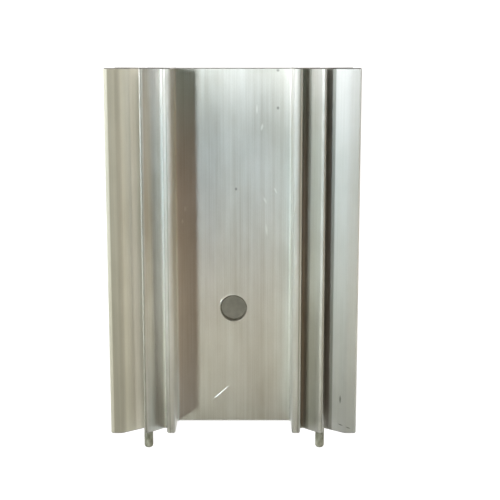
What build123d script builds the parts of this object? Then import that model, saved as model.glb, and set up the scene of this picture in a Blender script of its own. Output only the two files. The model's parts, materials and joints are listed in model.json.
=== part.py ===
"""Board heat sink cut from an aluminium extrusion, with two solder pins, lying on its back.

Millimetres, +Z up. X runs across the profile, the extrusion runs along Y and the pins point to -Y.
The section is drawn about the middle of its web and rests on its back fin tips at Z = 0.
"""
import os
from math import radians, sin, tan

from build123d import *

# Stock
profile_depth = 12.7
profile_length = 51.4

# Web and channel walls
web_thickness = 1.5
wall_thickness = 1.2
wall_to_pin = 3.2

# Splayed fins, leaning out from the channel walls
splayed_fin_thickness = 0.7
splayed_fin_reach = 3.6
splay_angle = 47

# Bent outer fins, springing from the pin bosses: an upright stem, a sloping flank and a level lip
bent_fin_thickness = 0.95
bent_fin_reach = 4.35
bent_root_offset = 0.4
flank_angle = 38
lip_width = 1.45
bend_radius = 0.6

# Roundings: the roots, and the tips as a share of the thinnest fin
root_radius = 0.4
tip_round_share = 0.42

# Solder pins: a tail for the board, a thinner shank behind its shoulder, and the slotted bosses that grip it
pin_pitch = 25.4
pin_diameter = 1.3
pin_standout = 4.3
pin_tip_radius = 0.45
shoulder_chamfer = 0.08
shank_diameter = 0.9
shank_grip = 8
pin_clearance = 0.01
boss_wall = 0.85
boss_slot_width = 0.7

# Screw hole in the web
hole_diameter = 3.66
hole_from_pin_end = 17
hole_chamfer = 0.1

# Places across the section, from its middle outwards
pin_x = pin_pitch / 2
wall_outer_x = pin_x - wall_to_pin
wall_x = wall_outer_x - wall_thickness / 2
bent_root_x = pin_x + bent_root_offset
side_x = bent_root_x + bent_fin_reach
bend_x = side_x - lip_width
splayed_outer_x = wall_outer_x + splayed_fin_reach
splayed_inner_x = splayed_outer_x - splayed_fin_thickness / sin(radians(splay_angle))

# Heights above the middle of the web
web_face = web_thickness / 2
tip_height = profile_depth / 2
lip_height = tip_height - bent_fin_thickness / 2
knee_height = lip_height - (bend_x - bent_root_x) * tan(radians(flank_angle))

# Places along the extrusion
top_end_y = (profile_length + pin_standout) / 2
pin_end_y = top_end_y - profile_length
shoulder_y = pin_end_y - pin_clearance
hole_y = pin_end_y + hole_from_pin_end

bore_radius = shank_diameter / 2 + pin_clearance
boss_radius = bore_radius + boss_wall
tip_radius = tip_round_share * min(wall_thickness, splayed_fin_thickness, bent_fin_thickness)


def splayed_root(tip_x):
    """Point inside the channel wall from which a splayed face runs out to the tip at tip_x."""
    return (wall_x, tip_height - (tip_x - wall_x) * tan(radians(splay_angle)))


def is_tip(corner):
    """True for a corner at the end of a wall, splayed fin or lip."""
    at_top = abs(corner.Y) > tip_height - tip_radius and abs(corner.X) < splayed_outer_x + tip_radius
    return at_top or abs(corner.X) > side_x - tip_radius


def is_root(corner):
    """True for a corner where a wall, fin or boss joins its neighbour."""
    near_wall = abs(corner.X) < wall_outer_x + root_radius and not is_tip(corner)
    return abs(corner.Y) > web_face / 2 and (near_wall or abs(corner.Y) < boss_radius + root_radius)


os.makedirs("parts", exist_ok=True)
end_plane = Plane(origin=(0, top_end_y, tip_height), x_dir=(1, 0, 0), z_dir=(0, -1, 0))

with BuildPart() as extrusion:
    with BuildSketch(end_plane) as section:
        Rectangle(pin_pitch, web_thickness)
        with GridLocations(2 * wall_x, 0, 2, 1):
            Rectangle(wall_thickness, profile_depth)
        with GridLocations(pin_pitch, 0, 2, 1):
            Circle(boss_radius)
        # The front right fins, then their mirror images
        with BuildLine():
            Polyline(
                splayed_root(splayed_inner_x),
                (splayed_inner_x, tip_height),
                (splayed_outer_x, tip_height),
                splayed_root(splayed_outer_x),
                close=True,
            )
        make_face()
        with BuildLine():
            FilletPolyline(
                (side_x, lip_height),
                (bend_x, lip_height),
                (bent_root_x, knee_height),
                (bent_root_x, 0),
                radius=bend_radius,
            )
        trace(line_width=bent_fin_thickness)
        mirror(about=Plane.YZ)
        mirror(about=Plane.XZ)
        fillet(section.vertices().filter_by(is_root), root_radius)
        fillet(section.vertices().filter_by(is_tip), tip_radius)
        # Pin bores, each slotted to its side
        with PolarLocations(pin_x, 2):
            Circle(bore_radius, mode=Mode.SUBTRACT)
            Rectangle(side_x - pin_x, boss_slot_width, align=(Align.MIN, Align.CENTER), mode=Mode.SUBTRACT)
    extrude(amount=profile_length)
    with Locations((0, hole_y, tip_height)):
        Hole(hole_diameter / 2, depth=web_thickness)
    chamfer(extrusion.edges(Select.LAST).filter_by(GeomType.CIRCLE), hole_chamfer)

extrusion.part.label = "extrusion"
export_step(extrusion.part, "parts/extrusion.step")

for name, x in (("solder_pin_left", -pin_x), ("solder_pin_right", pin_x)):
    with BuildPart() as pin:
        with BuildSketch(Plane(origin=(x, pin_end_y - pin_standout, tip_height), z_dir=(0, 1, 0))):
            Circle(pin_diameter / 2)
        extrude(amount=pin_standout - pin_clearance)
        chamfer(pin.edges().sort_by(Axis.Y)[-1], shoulder_chamfer)
        fillet(pin.edges().sort_by(Axis.Y)[0], pin_tip_radius)
        with BuildSketch(Plane(origin=(x, shoulder_y, tip_height), z_dir=(0, 1, 0))):
            Circle(shank_diameter / 2)
        extrude(amount=shank_grip)
    pin.part.label = name
    export_step(pin.part, f"parts/{name}.step")
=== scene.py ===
"""Dresses the board heat sink: a mill-finish extrusion with sawn ends, worn fin tips and tinned pins.

Metres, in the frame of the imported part: X across the profile, Y along the extrusion, Z up.
Materials work in millimetres of the same frame.
"""
import json
from math import cos, pi, radians, sin, tan

import bmesh
import bpy
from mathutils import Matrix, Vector, noise


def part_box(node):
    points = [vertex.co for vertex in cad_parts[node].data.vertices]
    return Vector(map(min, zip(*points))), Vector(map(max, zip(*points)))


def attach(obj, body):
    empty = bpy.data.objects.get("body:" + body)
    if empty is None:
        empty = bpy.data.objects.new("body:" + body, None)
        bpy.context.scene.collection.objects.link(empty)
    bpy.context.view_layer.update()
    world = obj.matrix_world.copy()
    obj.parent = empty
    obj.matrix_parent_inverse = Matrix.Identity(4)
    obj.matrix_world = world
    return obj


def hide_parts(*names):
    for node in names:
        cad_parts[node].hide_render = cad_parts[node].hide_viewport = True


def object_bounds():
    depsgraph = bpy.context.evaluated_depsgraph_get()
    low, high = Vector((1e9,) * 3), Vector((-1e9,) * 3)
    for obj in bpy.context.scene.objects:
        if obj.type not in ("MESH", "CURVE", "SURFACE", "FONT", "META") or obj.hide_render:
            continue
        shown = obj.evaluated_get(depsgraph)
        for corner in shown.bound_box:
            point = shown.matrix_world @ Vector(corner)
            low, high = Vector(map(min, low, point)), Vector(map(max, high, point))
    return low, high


MM = 0.001

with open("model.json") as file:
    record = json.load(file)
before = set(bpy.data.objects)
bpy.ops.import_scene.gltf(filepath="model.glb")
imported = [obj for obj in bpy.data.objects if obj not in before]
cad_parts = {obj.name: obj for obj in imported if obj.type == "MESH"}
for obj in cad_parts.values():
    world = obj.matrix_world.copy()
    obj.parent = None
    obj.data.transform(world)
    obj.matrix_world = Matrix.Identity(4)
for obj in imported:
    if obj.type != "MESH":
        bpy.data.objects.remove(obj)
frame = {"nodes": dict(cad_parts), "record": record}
cad_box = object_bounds()
scene = bpy.context.scene
mounts = {mount["name"]: mount for mount in frame["record"]["mounts"]}

# Places on the part, from its record
web_top = mounts["device_face"]["pos_m"][2]
hole_x, hole_y = mounts["screw_hole"]["pos_m"][:2]
hole_radius = mounts["screw_hole"]["dims"]["r_mm"] * MM


# Node helpers

def add_node(tree, kind, **settings):
    """A new node of this kind with its properties set."""
    node = tree.nodes.new(kind)
    for key, value in settings.items():
        setattr(node, key, value)
    return node


def feed(tree, socket, value):
    """Sets a socket to a plain number or colour, or links it to another socket."""
    if isinstance(value, (int, float)):
        socket.default_value = value
    elif isinstance(value, tuple):
        socket.default_value = (*value, 1)
    else:
        tree.links.new(value, socket)


def new_material(name):
    """An empty node material with its shader and the object's own coordinates, in millimetres."""
    material = bpy.data.materials.new(name)
    material.use_nodes = True
    tree = material.node_tree
    tree.nodes.clear()
    output = add_node(tree, "ShaderNodeOutputMaterial")
    shader = add_node(tree, "ShaderNodeBsdfPrincipled")
    tree.links.new(shader.outputs[0], output.inputs["Surface"])
    place = add_node(tree, "ShaderNodeTexCoord")
    scale = add_node(tree, "ShaderNodeVectorMath", operation="SCALE")
    scale.inputs["Scale"].default_value = 1 / MM
    tree.links.new(place.outputs["Object"], scale.inputs[0])
    return material, tree, shader, scale.outputs[0]


def stretched_noise(tree, place, stretch, detail=2.0, roughness=0.5):
    """Noise with this many grains per millimetre along X, Y and Z."""
    mapping = add_node(tree, "ShaderNodeMapping")
    mapping.inputs["Scale"].default_value = stretch
    tree.links.new(place, mapping.inputs["Vector"])
    texture = add_node(tree, "ShaderNodeTexNoise")
    texture.inputs["Scale"].default_value = 1.0
    texture.inputs["Detail"].default_value = detail
    texture.inputs["Roughness"].default_value = roughness
    tree.links.new(mapping.outputs[0], texture.inputs["Vector"])
    return texture.outputs[0]


def calc(tree, operation, *values):
    """A math node on sockets or plain numbers."""
    node = add_node(tree, "ShaderNodeMath", operation=operation)
    for socket, value in zip(node.inputs, values):
        feed(tree, socket, value)
    return node.outputs[0]


def times(tree, first, *others):
    """The product of sockets and plain numbers."""
    product = first
    for factor in others:
        product = calc(tree, "MULTIPLY", product, factor)
    return product


def weighted(tree, *shares, start=0.0):
    """A start value and the sum of more values, each times its weight."""
    total = start
    for value, weight in shares:
        total = calc(tree, "MULTIPLY_ADD", value, weight, total)
    return total


def remap(tree, value, low, high, to_low, to_high):
    """The value stretched from one range to another, held at its ends."""
    node = add_node(tree, "ShaderNodeMapRange", clamp=True)
    for socket, number in zip(node.inputs[1:5], (low, high, to_low, to_high)):
        socket.default_value = number
    tree.links.new(value, node.inputs[0])
    return node.outputs[0]


def rise(tree, value, start, end):
    """0 before the start and 1 beyond the end; the end may lie below the start."""
    return remap(tree, value, start, end, 0, 1)


def step(tree, value, edge, fade):
    """0 below an edge and 1 above it, with this fade to each side; a negative fade gives 1 below."""
    return rise(tree, value, edge - fade, edge + fade)


def blend(tree, share, first, second):
    """A colour between two colours or colour sockets."""
    node = add_node(tree, "ShaderNodeMix", data_type="RGBA")
    for index, value in ((0, share), (6, first), (7, second)):
        feed(tree, node.inputs[index], value)
    return node.outputs[2]


def bump(tree, height, depth, normal=None):
    """Surface relief from a height between 0 and 1, this deep in millimetres."""
    node = add_node(tree, "ShaderNodeBump")
    node.inputs["Distance"].default_value = depth * MM
    tree.links.new(height, node.inputs["Height"])
    if normal:
        tree.links.new(normal, node.inputs["Normal"])
    return node.outputs[0]


def axis_share(tree, vector, axis):
    """One coordinate of a vector socket."""
    split = add_node(tree, "ShaderNodeSeparateXYZ")
    tree.links.new(vector, split.inputs[0])
    return split.outputs[axis]


# Share of a spot's reach at which it starts to fade
spot_core = 0.35


def spots(tree, place, marks):
    """1 inside soft-edged marks and 0 elsewhere; a mark is (centre, half size, turn about Z in degrees)."""
    covered = 0.0
    for centre, half_size, turn in marks:
        mapping = add_node(tree, "ShaderNodeMapping", vector_type="TEXTURE")
        mapping.inputs["Location"].default_value = centre
        mapping.inputs["Rotation"].default_value = (0, 0, radians(turn))
        mapping.inputs["Scale"].default_value = half_size
        tree.links.new(place, mapping.inputs["Vector"])
        reach = add_node(tree, "ShaderNodeVectorMath", operation="LENGTH")
        tree.links.new(mapping.outputs[0], reach.inputs[0])
        covered = calc(tree, "MAXIMUM", rise(tree, reach.outputs["Value"], 1, spot_core), covered)
    return covered


# Aluminium

web_z = web_top / MM
lip_z = cad_box[1][2] / MM

# Marks on the web and on the right lip, in millimetres: dark pits, and pale flecks where the skin is knocked
pits = (
    ((6.28, 22.28, web_z), (0.24, 0.28, 0.3), 0),
    ((0.36, 10.84, web_z), (0.22, 0.28, 0.3), 0),
    ((6.26, 27.5, web_z), (0.28, 0.25, 0.3), 0),
    ((15.17, -18.66, 12.2), (0.14, 0.7, 0.6), 0),
    ((15.2, -22.4, 12.3), (0.5, 0.1, 0.5), -10),
    ((16.3, -22.7, 12.6), (0.45, 0.09, 0.5), -20),
)
flecks = (
    ((3.33, 22.1, web_z), (0.16, 0.8, 0.3), 0),
    ((4.04, 19.6, web_z), (0.2, 0.6, 0.3), -12),
    ((4.5, 9.2, web_z), (0.2, 0.6, 0.3), 25),
    ((6.0, 10.6, web_z), (0.16, 0.55, 0.3), 25),
    ((4.7, 5.0, web_z), (0.2, 1.0, 0.3), 5),
    ((16.53, -9.82, lip_z), (0.17, 0.4, 0.4), 0),
    ((-6.9, 8.0, web_z), (0.2, 0.5, 0.3), 0),
    ((-7.3, 6.2, web_z), (0.2, 0.4, 0.3), 0),
)

# The left outer fin's flank has a paler colour, painted light for the light it gets from the right, and less
# metal shine; its lip is darker, tan and less metallic but for its outer edge
flank_inner = -12.68
lip_inner = -15.5
lip_edge_start = -16.95
zone_fade = 0.06
lip_fade = 0.3

# Dust at the foot of that flank: from and to across the section
dusty_strip = (-14.0, flank_inner)

# The right outer fin is rough, and its brighter colour is painted light; the splayed fin beside it has a
# darker stain that is painted shade
rough_painted_light_fin_inner = 13.3
painted_shade_face = (10.7, 12.1)

# Satin tips of the walls and splayed fins: from and to across the section, and their height
satin_sides = (-13.2, 13.2)
satin_height = (12.25, 13)

# Dark lines along those tips, which are painted shade: from and to across the section
painted_tip_shade_lines = (
    (-12.52, -12.36),
    (-9.1, -8.95),
    (9.1, 9.3),
    (12.45, 12.58),
)

# Painted shade in the recesses, where shadow falls: from and to across the section, and how high it reaches
painted_shade_bands = (
    ((-9.68, -9.4), 11.1),
    ((9.5, 11.5), 11.15),
    ((13.0, 14.4), 11.32),
)

# How far a normal leans up, or towards a sawn end, where a face starts and is sure to count
facing_up = (0.05, 0.2)
facing_bevel = (0.5, 0.6)
facing_end = (0.8, 0.95)

# Grains per millimetre along X, Y and Z
broad_line_grain = (1.1, 0.012, 1.1)
fine_line_grain = (7, 0.07, 7)
tarnish_grain = (0.22, 0.09, 0.22)
skin_grain = (9, 3, 9)
saw_grain = (0.2, 1, 6)

# Ranges in which noise does most of its work
noise_narrow = (0.39, 0.61)
noise_middle = (0.35, 0.65)
noise_wide = (0.3, 0.7)

# Dark and light tones of the skin, of the zones that have their own, and of the sawn ends. The flank's paler
# tones and the right fin's bright tones are painted light; the lip's are darker and tan
skin_tones = ((0.62, 0.605, 0.57), (0.80, 0.80, 0.79))
zone_tones = {
    "flank_painted_light": ((0.76, 0.74, 0.635), (0.90, 0.88, 0.78)),
    "dull": ((0.41, 0.395, 0.325), (0.51, 0.49, 0.41)),
    "rough_fin_painted_light": ((0.86, 0.87, 0.86), (0.97, 0.975, 0.98)),
}
sawn_tones = ((0.42, 0.42, 0.4), (0.64, 0.64, 0.62))

# Stains and painted shade under and over the sawn ends: how strongly each covers, and its colour. The pits
# and flecks are real marks; the rest is painted shade, on the splayed fin's face, along the tips, on the
# sawn edges' bevels and in the recesses
skin_painted_shade = {
    "painted_slope_shade": (0.3, (0.38, 0.375, 0.3)),
    "painted_tip_shade": (0.55, (0.22, 0.215, 0.17)),
}
top_stains_and_shade = {
    "bevel_shade": (0.8, (0.3, 0.29, 0.26)),
    "painted_recess_shade": (0.52, (0.16, 0.15, 0.1)),
    "pitted": (0.7, (0.2, 0.2, 0.18)),
    "knocked": (0.7, (0.93, 0.93, 0.91)),
}

# Roughness of the skin, and depths of its relief in millimetres
skin_roughness = (0.30, 0.40)
line_depth = 0.012
grain_depth = 0.006
saw_depth = 0.03


def between(tree, value, limits):
    """1 where the value lies between the limits and 0 elsewhere, with soft ends."""
    low, high = limits
    return times(tree, step(tree, value, low, zone_fade), step(tree, value, high, -zone_fade))


def aluminium_zones(tree, place, surface):
    """Where the metal differs from its plain skin, by name: 1 inside a zone and 0 elsewhere."""
    across = axis_share(tree, place, 0)
    above = axis_share(tree, place, 2)
    upward = rise(tree, axis_share(tree, surface.outputs["Normal"], 2), *facing_up)
    front = times(tree, upward, rise(tree, above, web_z, web_z + zone_fade))
    on_lip = times(tree, step(tree, across, lip_inner, -lip_fade), step(tree, across, lip_edge_start, zone_fade))
    satin = times(tree, between(tree, across, satin_sides), between(tree, above, satin_height))
    # Dark lines along the tips: painted shade
    painted_tip_shade = 0.0
    for sides in painted_tip_shade_lines:
        painted_tip_shade = calc(tree, "MAXIMUM", times(tree, between(tree, across, sides), satin), painted_tip_shade)
    # Darkening in the recesses: painted shade
    painted_recess_shade = 0.0
    for sides, top in painted_shade_bands:
        covered = times(tree, between(tree, across, sides), between(tree, above, (web_z, top)), front)
        painted_recess_shade = calc(tree, "MAXIMUM", covered, painted_recess_shade)
    endward = calc(tree, "ABSOLUTE", axis_share(tree, surface.outputs["True Normal"], 1))
    sawn = rise(tree, endward, *facing_end)
    # The paler flank and the bright right fin carry painted light; the splayed fin's face, the tip lines,
    # the recesses and the bevels carry painted shade
    return {
        "flank_painted_light": times(tree, step(tree, across, flank_inner, -zone_fade), front),
        "dull": times(tree, on_lip, front),
        "dusty": times(tree, between(tree, across, dusty_strip), front),
        "rough_fin_painted_light": times(tree, step(tree, across, rough_painted_light_fin_inner, zone_fade), front),
        "painted_slope_shade": times(tree, between(tree, across, painted_shade_face), front),
        "satin": satin,
        "painted_tip_shade": painted_tip_shade,
        "painted_recess_shade": painted_recess_shade,
        "sawn": sawn,
        "bevel_shade": calc(tree, "SUBTRACT", rise(tree, endward, *facing_bevel), sawn),
        "pitted": spots(tree, place, pits),
        "knocked": spots(tree, place, flecks),
    }


def stained_or_shaded(tree, colour, zones, stains):
    """The colour with stains or painted shade laid over it in their zones."""
    for zone, (strength, stain) in stains.items():
        colour = blend(tree, times(tree, zones[zone], strength), colour, stain)
    return colour


def aluminium_colour(tree, zones, tone, saw_lines):
    """The skin's tones, those of its zones and sawn ends, and the stains, with painted light and shade in
    some of them.
    """
    share = rise(tree, tone, *noise_narrow)
    colour = blend(tree, share, *skin_tones)
    for zone, tones in zone_tones.items():
        colour = blend(tree, zones[zone], colour, blend(tree, share, *tones))
    colour = stained_or_shaded(tree, colour, zones, skin_painted_shade)
    cut = blend(tree, rise(tree, saw_lines, *noise_middle), *sawn_tones)
    colour = blend(tree, zones["sawn"], colour, cut)
    return stained_or_shaded(tree, colour, zones, top_stains_and_shade)


def round_the_section(tree, surface):
    """The direction in which highlights spread: round the section, across the die lines."""
    around = add_node(tree, "ShaderNodeVectorMath", operation="CROSS_PRODUCT")
    around.inputs[1].default_value = (0, 1, 0)
    tree.links.new(surface.outputs["Normal"], around.inputs[0])
    # A little of X keeps the direction from vanishing on the sawn ends
    tangent = add_node(tree, "ShaderNodeVectorMath", operation="ADD")
    tangent.inputs[1].default_value = (0.001, 0, 0)
    tree.links.new(around.outputs[0], tangent.inputs[0])
    return tangent.outputs[0]


def mill_aluminium():
    """Extruded aluminium: die lines along the length, tarnish, a dull left fin, saw lines on the ends, and
    painted light and shade in some zones.
    """
    material, tree, shader, place = new_material("mill_aluminium")
    shader.inputs["Anisotropic"].default_value = 1
    surface = add_node(tree, "ShaderNodeNewGeometry")
    zones = aluminium_zones(tree, place, surface)
    broad_lines = stretched_noise(tree, place, broad_line_grain, 3)
    fine_lines = stretched_noise(tree, place, fine_line_grain, 2)
    tarnish = stretched_noise(tree, place, tarnish_grain, 3)
    grain = stretched_noise(tree, place, skin_grain, 3, 0.6)
    saw_lines = stretched_noise(tree, place, saw_grain, 3)
    lines = weighted(tree, (broad_lines, 0.6), (fine_lines, 0.4))

    tone = weighted(tree, (lines, 0.5), (tarnish, 0.4), (grain, 0.1))
    tree.links.new(aluminium_colour(tree, zones, tone, saw_lines), shader.inputs["Base Color"])

    weathered = weighted(tree, (zones["flank_painted_light"], 0.4), (zones["dull"], 0.15), (zones["dusty"], 0.4))
    weathered = calc(tree, "MAXIMUM", weathered, times(tree, zones["satin"], 0.12))
    tree.links.new(calc(tree, "SUBTRACT", 1, weathered), shader.inputs["Metallic"])

    rough = remap(tree, weighted(tree, (lines, 0.6), (grain, 0.4)), *noise_middle, *skin_roughness)
    rougher = ((weathered, 0.4), (zones["rough_fin_painted_light"], 0.18), (zones["sawn"], 0.15), (zones["knocked"], 0.2))
    tree.links.new(weighted(tree, *rougher, start=rough), shader.inputs["Roughness"])

    relief = bump(tree, lines, line_depth)
    relief = bump(tree, grain, grain_depth, relief)
    relief = bump(tree, times(tree, saw_lines, zones["sawn"]), saw_depth, relief)
    tree.links.new(relief, shader.inputs["Normal"])
    tree.links.new(round_the_section(tree, surface), shader.inputs["Tangent"])
    return material


# Other materials

# The hole's wall and bevels are dark: grime, and painted shade that also damps the bevels' highlight
bore_dirt_and_shade_tones = ((0.2, 0.195, 0.16), (0.42, 0.41, 0.36))
bore_roughness = (0.45, 0.6)
drill_ring_depth = 0.02

pin_tones = ((0.22, 0.225, 0.17), (0.44, 0.445, 0.37))
pin_tint = (0.5, 0.5, 0.45)
pin_roughness = (0.4, 0.6)
pin_grain_depth = 0.006

# Floor film, dull and lit from behind: its glow round the part, which fills in the part's cast shadow, and
# its glow under the part, which is mottled, yellow and dim, a painted shade
film_tones = ((0.2, 0.2, 0.2), (0.22, 0.22, 0.22))
shadow_filling_glow = 0.95
under_part_shade_glow = 0.15
under_mottle = (0.8, 1.1)
mottle_range = (0.38, 0.62)
shade_and_fill_tones = ((1.0, 0.97, 0.76), (1.0, 1.0, 1.0))
glow_fade = 4


def drilled_bore():
    """The hole's wall and bevels: dull metal with drill rings, darkened by grime and painted shade."""
    material, tree, shader, place = new_material("drilled_bore")
    shader.inputs["Metallic"].default_value = 1
    rings = stretched_noise(tree, place, (0.3, 0.3, 9), 2)
    grime = stretched_noise(tree, place, (1.3, 1.3, 1.3), 3)
    colour = blend(tree, rise(tree, grime, *noise_middle), *bore_dirt_and_shade_tones)
    tree.links.new(colour, shader.inputs["Base Color"])
    tree.links.new(remap(tree, rings, *noise_wide, *bore_roughness), shader.inputs["Roughness"])
    tree.links.new(bump(tree, rings, drill_ring_depth), shader.inputs["Normal"])
    return material


def tinned_pin():
    """Dull tin plating with a mottled tone."""
    material, tree, shader, place = new_material("tinned_pin")
    shader.inputs["Metallic"].default_value = 0.2
    shader.inputs["Specular IOR Level"].default_value = 0.1
    feed(tree, shader.inputs["Specular Tint"], pin_tint)
    mottle = stretched_noise(tree, place, (1.6, 1.0, 1.6), 3)
    grain = stretched_noise(tree, place, (11, 11, 11), 3)
    colour = blend(tree, rise(tree, mottle, *noise_middle), *pin_tones)
    tree.links.new(colour, shader.inputs["Base Color"])
    tree.links.new(remap(tree, grain, *noise_wide, *pin_roughness), shader.inputs["Roughness"])
    tree.links.new(bump(tree, grain, pin_grain_depth), shader.inputs["Normal"])
    return material


def pale_floor():
    """Plain white film over a lamp, lit from behind; the glow fills in the part's shadow round it and is
    dimmed under it to a painted shade.
    """
    material, tree, shader, place = new_material("pale_floor")
    fibres = stretched_noise(tree, place, (0.4, 0.4, 0.4), 4)
    tree.links.new(blend(tree, fibres, *film_tones), shader.inputs["Base Color"])
    shader.inputs["Roughness"].default_value = 0.9
    low, high = (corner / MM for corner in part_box("extrusion"))
    # 1 round the part, where the glow fills in its shadow, and 0 under it, where the dim glow is painted
    # shade
    lit = 0.0
    for axis in (0, 1):
        along = axis_share(tree, place, axis)
        for edge, inward in ((low[axis], glow_fade), (high[axis], -glow_fade)):
            lit = calc(tree, "MAXIMUM", rise(tree, along, edge + inward, edge), lit)
    tree.links.new(blend(tree, lit, *shade_and_fill_tones), shader.inputs["Emission Color"])
    mottle = stretched_noise(tree, place, (1.3, 1.3, 1.3), 2)
    under = times(tree, remap(tree, mottle, *mottle_range, *under_mottle), under_part_shade_glow)
    unlit = calc(tree, "SUBTRACT", 1, lit)
    tree.links.new(weighted(tree, (under, unlit), (lit, shadow_filling_glow)), shader.inputs["Emission Strength"])
    return material


# Pieces

cut_tolerance = 1e-8
weld_distance = 1e-7
flat_angle = 0.002
sharp_angle = radians(32)
level_facing = 0.9
edge_break = 0.13 * MM
ring_pitch = 0.6 * MM

# Depth below the fin tips that wear and knocks reach
tip_zone = 0.45 * MM

# Tips of the walls and splayed fins, worn to a low ridge, and the lips' worn outer edges
worn_tips = (8.9 * MM, 12.62 * MM)
worn_reach = 0.7 * MM
worn_lip = 16.95 * MM
worn_slope = tan(radians(15))

# Knocks on the fin tips: change from fin to fin, length, the noise level where they start, and weight
large_knocks = (7.3, 1.7 * MM, 0.15, 1.1)
small_knocks = (3.1, 0.9 * MM, 0.2, 0.5)
small_knock_row = 5
knock_height = 9 * MM
fin_spacing = 2 * MM
nick_depth = 0.05 * MM
lip_face = (14 * MM, 17.2 * MM)

# Burr that the drill left round the hole, highest towards the upper left
burr_inner = hole_radius + 0.12 * MM
burr_crest = hole_radius + 0.22 * MM
burr_outer = hole_radius + 0.36 * MM
burr_height = 0.058 * MM
burr_side = radians(142)
burr_focus = 7
burr_least_height = 0.1
burr_least_width = 0.4
burr_raggedness = 0.35
burr_grain = 4
burr_steps = 72

# Gouge in the web: a curl of metal pushed up along one stroke, wide where the stroke began
gouge_start = Vector((-2.75 * MM, -20.0 * MM, web_top))
gouge_end = Vector((-0.5 * MM, -18.0 * MM, web_top))
gouge_width = 0.26 * MM
gouge_height = 0.05 * MM
gouge_bluntness = 0.08
gouge_skew = 0.45
gouge_raggedness = 0.15
gouge_grain = Vector((9, 0, 0))
gouge_seed = Vector((0, 2, 7))
gouge_steps = 14


def add_object(name, data):
    """A new object in the scene."""
    item = bpy.data.objects.new(name, data)
    scene.collection.objects.link(item)
    return item


def add_mesh_object(name, mesh, *materials):
    """A new object from a finished bmesh, with its materials."""
    data = bpy.data.meshes.new(name)
    mesh.to_mesh(data)
    mesh.free()
    for material in materials:
        data.materials.append(material)
    return add_object(name, data)


def slice_mesh(mesh, point, normal):
    """Cuts every face that a plane crosses."""
    bmesh.ops.bisect_plane(mesh, geom=mesh.verts[:] + mesh.edges[:] + mesh.faces[:],
                           plane_co=point, plane_no=normal, dist=cut_tolerance)


def cut_rings(mesh, low_y, high_y):
    """Cuts the long faces into rings, so that the fin tips can be nicked along their length."""
    count = round((high_y - low_y) / ring_pitch)
    for index in range(1, count):
        slice_mesh(mesh, (0, low_y + (high_y - low_y) * index / count, 0), (0, 1, 0))


def below_tips(vert, low, high):
    """How far a point lies inside the front or back fin tips, whichever are nearer."""
    return min(vert.co.z - low.z, high.z - vert.co.z)


def sink(vert, depth, low, high):
    """Moves a point in from the nearer fin tips."""
    vert.co.z += depth if vert.co.z < (low.z + high.z) / 2 else -depth


def wear_tips(mesh, low, high):
    """Wears the tips of the walls and splayed fins to a ridge, and slopes the lips' outer edges."""
    for ridge in (*worn_tips, worn_lip):
        for side in (-1, 1):
            slice_mesh(mesh, (side * ridge, 0, 0), (1, 0, 0))
    for vert in mesh.verts:
        depth_in = below_tips(vert, low, high)
        aside = abs(vert.co.x)
        from_ridge = aside - worn_lip if aside > worn_lip else min(abs(aside - ridge) for ridge in worn_tips)
        if depth_in <= tip_zone and from_ridge <= worn_reach:
            sink(vert, from_ridge * worn_slope * (1 - depth_in / tip_zone), low, high)


def break_sawn_edges(mesh, end_y, inward):
    """Takes the sharp edge off a sawn end."""
    def at_end(vert):
        return abs(vert.co.y - end_y) < weld_distance

    ends = [face for face in mesh.faces if all(map(at_end, face.verts))]
    bmesh.ops.inset_region(mesh, faces=ends, thickness=edge_break, use_even_offset=True)
    sides = [face for face in mesh.faces if not all(map(at_end, face.verts))]
    for vert in {vert for face in sides for vert in face.verts if at_end(vert)}:
        vert.co.y += inward * edge_break


def knock(fin, along, row, kind):
    """How hard a fin tip is knocked at one place."""
    change, length, start, weight = kind
    level = noise.noise(Vector((fin * change, along / length, row)))
    return max(0, level - start) * weight


def nick_tips(mesh, low, high):
    """Dents the fin tips where tools and other parts have knocked them."""
    for vert in mesh.verts:
        depth_in = below_tips(vert, low, high)
        on_lip = lip_face[0] < abs(vert.co.x) < lip_face[1]
        if depth_in > tip_zone or on_lip:
            continue
        fin = round(vert.co.x / fin_spacing)
        depth = knock(fin, vert.co.y, vert.co.z / knock_height, large_knocks)
        depth += knock(fin, vert.co.y, small_knock_row, small_knocks)
        sink(vert, nick_depth * depth * (1 - depth_in / tip_zone), low, high)


def add_strip(mesh, rows, closed=False):
    """Faces between rows of points that run side by side."""
    rows = [[mesh.verts.new(point) for point in row] for row in rows]
    count = len(rows[0])
    for first, second in zip(rows, rows[1:]):
        for index in range(count if closed else count - 1):
            after = (index + 1) % count
            mesh.faces.new((first[index], first[after], second[after], second[index]))


def add_hole_burr(mesh):
    """The drill's burr, a low ring on the web that dies away on the far side."""
    centre = Vector((hole_x, hole_y, web_top))
    inner, crest, outer = [], [], []
    for index in range(burr_steps):
        angle = 2 * pi * index / burr_steps
        ray = Vector((cos(angle), sin(angle), 0))
        strength = max(0, cos(angle - burr_side)) ** burr_focus
        rough = 1 + burr_raggedness * noise.noise(ray * burr_grain)
        height = burr_height * (burr_least_height + (1 - burr_least_height) * strength) * rough
        width = (burr_outer - burr_crest) * (burr_least_width + (1 - burr_least_width) * strength) * rough
        inner.append(centre + ray * burr_inner)
        crest.append(centre + ray * burr_crest + Vector((0, 0, height)))
        outer.append(centre + ray * (burr_crest + width))
    add_strip(mesh, (outer, crest, inner), closed=True)


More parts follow.
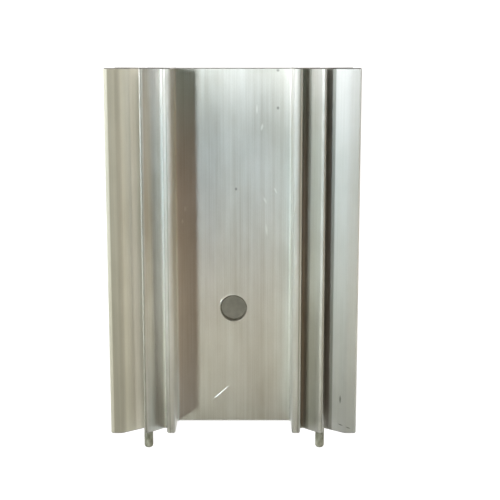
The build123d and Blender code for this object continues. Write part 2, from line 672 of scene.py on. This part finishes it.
def add_gouge(mesh):
    """The curl along the gouge, tapering from its start to its end."""
    along = gouge_end - gouge_start
    aside = Vector((-along.y, along.x, 0)).normalized() * gouge_width
    left, crest, right = [], [], []
    for index in range(gouge_steps + 1):
        share = index / gouge_steps
        taper = sin(pi * (gouge_bluntness + (1 - gouge_bluntness) * share) ** gouge_skew)
        taper *= 1 + gouge_raggedness * noise.noise(gouge_grain * share + gouge_seed)
        point = gouge_start + along * share
        left.append(point + aside / 2 * taper)
        crest.append(point - aside / 6 * taper + Vector((0, 0, gouge_height * taper)))
        right.append(point - aside / 2 * taper)
    add_strip(mesh, (left, crest, right))


def in_bore(face):
    """True for the hole's wall and its bevels."""
    centre = face.calc_center_median()
    from_axis = Vector((centre.x - hole_x, centre.y - hole_y)).length
    return from_axis < burr_inner and abs(face.normal.z) < level_facing


def shade_smooth(mesh):
    """Smooth shading that stops at sharp edges."""
    mesh.normal_update()
    for face in mesh.faces:
        face.smooth = True
    for edge in mesh.edges:
        edge.smooth = edge.calc_face_angle(0) < sharp_angle


def dressed_extrusion():
    """The extrusion's own solid with broken edges, worn and nicked tips, and a burr and gouge on its web."""
    low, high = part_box("extrusion")
    mesh = bmesh.new()
    mesh.from_mesh(frame["nodes"]["extrusion"].data)
    bmesh.ops.remove_doubles(mesh, verts=mesh.verts, dist=weld_distance)
    bmesh.ops.dissolve_limit(mesh, angle_limit=flat_angle, verts=mesh.verts, edges=mesh.edges)
    break_sawn_edges(mesh, low.y, 1)
    break_sawn_edges(mesh, high.y, -1)
    wear_tips(mesh, low, high)
    cut_rings(mesh, low.y + edge_break, high.y - edge_break)
    nick_tips(mesh, low, high)
    mesh.normal_update()
    for face in mesh.faces:
        face.material_index = 1 if in_bore(face) else 0
    add_hole_burr(mesh)
    add_gouge(mesh)
    shade_smooth(mesh)
    piece = add_mesh_object("heat_sink_extrusion", mesh, mill_aluminium(), drilled_bore())
    if "custom_normal" in piece.data.attributes:
        piece.data.attributes.remove(piece.data.attributes["custom_normal"])
    piece.modifiers.new("flat_faces", "WEIGHTED_NORMAL").keep_sharp = True
    return piece


extrusion = dressed_extrusion()
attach(extrusion, "root")
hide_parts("extrusion")

tin = tinned_pin()
for name in ("solder_pin_left", "solder_pin_right"):
    frame["nodes"][name].material_slots[0].material = tin


# Floor, light and camera

floor_reach = 1.2
floor_segments = 8
floor_drop = 0.02 * MM
light_distance = 0.6
sky_colour = (0.9, 0.93, 0.92)
sky_strength = 0.03
camera_place = (2.35 * MM, 28.83 * MM, 161.12 * MM)
camera_tilt = radians(-9.87)
camera_lens = 78.36


def floor():
    """White film just under the part."""
    mesh = bmesh.new()
    bmesh.ops.create_grid(mesh, x_segments=floor_segments, y_segments=floor_segments, size=floor_reach)
    piece = add_mesh_object("floor", mesh, pale_floor())
    piece.location.z = -floor_drop


def softbox(name, lean, spread, watts, colour):
    """A rectangular light that faces the part; lean and spread are degrees to the left and to the back."""
    left, back = lean
    towards = Vector((-tan(radians(left)), tan(radians(back)), 1)).normalized()
    light = bpy.data.lights.new(name, "AREA")
    light.shape = "RECTANGLE"
    light.size, light.size_y = (2 * light_distance * tan(radians(angle) / 2) for angle in spread)
    light.energy = watts
    light.color = colour
    lamp = add_object(name, light)
    lamp.location = towards * light_distance
    lamp.rotation_euler = towards.to_track_quat("Z", "Y").to_euler()


def studio():
    """A wide skylight at the back, a window on the left, a dim ceiling, and a dim warm room on the right."""
    softbox("skylight", (0, 34), (100, 22), 4.12, (1.0, 0.93, 0.84))
    softbox("window_side", (50, 14), (16, 12), 0.264, (1.0, 0.84, 0.94))
    softbox("window_corner", (50, -10), (16, 12), 0.22, (0.91, 1.0, 0.85))
    softbox("pane_top", (31, 8), (9, 6), 0.9, (0.95, 1.0, 0.98))
    softbox("pane_middle", (31, -5), (9, 6), 0.176, (0.63, 0.89, 1.0))
    softbox("pane_lower", (31, -12), (9, 6), 0.104, (0.96, 1.0, 0.95))
    softbox("pane_bottom", (31, -20), (9, 6), 0.165, (0.94, 1.0, 0.83))
    softbox("ceiling", (-6, -5), (7, 10), 0.014, (1.0, 0.7, 0.7))
    softbox("ceiling_back", (-8, 4), (8, 5), 0.031, (0.66, 1.0, 0.84))
    softbox("ceiling_front", (-15, -15), (20, 20), 0.089, (1.0, 0.67, 0.42))
    softbox("room_front", (-65, -42), (20, 24), 0.196, (0.86, 1.0, 0.95))
    softbox("room_right", (-65, -17), (20, 24), 0.16, (1.0, 0.76, 0.36))
    world = bpy.data.worlds.new("studio")
    world.use_nodes = True
    sky = world.node_tree.nodes["Background"]
    feed(world.node_tree, sky.inputs["Color"], sky_colour)
    sky.inputs["Strength"].default_value = sky_strength
    scene.world = world


def photo_camera():
    """The photo's view: almost straight down, from beyond the plain end."""
    data = bpy.data.cameras.new("camera")
    data.lens = camera_lens
    data.clip_start = 0.01
    camera = add_object("camera", data)
    camera.location = camera_place
    camera.rotation_euler = (camera_tilt, 0, 0)
    scene.camera = camera


floor()
studio()
photo_camera()
scene.view_settings.view_transform = "Standard"
